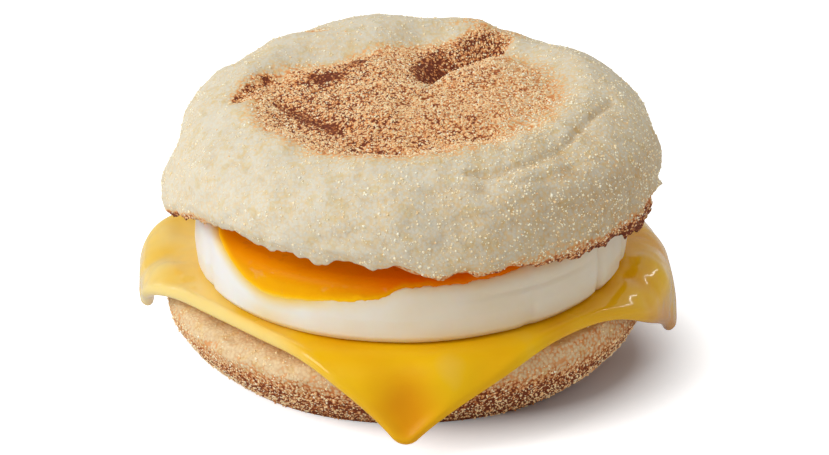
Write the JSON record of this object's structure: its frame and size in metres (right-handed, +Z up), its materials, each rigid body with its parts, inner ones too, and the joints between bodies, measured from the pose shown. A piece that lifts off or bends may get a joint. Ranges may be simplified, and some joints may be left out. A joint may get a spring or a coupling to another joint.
{
  "type": "filled english muffin",
  "caption": "Split toasted muffin filled with a ring-set egg, its runny yolk and a melted cheese slice whose corners hang over the lower half.",
  "frame": {"origin": "middle of the heel's flat underside, on the surface that the muffin stands on", "axes": "+Z up through the layers, -Y towards the front corner of the cheese, +X to the right of it"},
  "size_m": [0.1077, 0.1105, 0.0601],
  "materials": {
    "bread_base": "toasted bread, dusted with cornmeal",
    "bread_top": "pale floured bread with a browned dish, dusted with cornmeal",
    "cheese": "soft melted processed cheese",
    "egg_white": "set egg white, moist",
    "egg_yolk": "soft yolk, wet"
  },
  "bodies": {
    "root": {"muffin_heel": "bread_base", "cheese_slice": "cheese", "egg_white": "egg_white", "egg_yolk": "egg_yolk", "muffin_crown": "bread_top"}
  },
  "joints": []
}
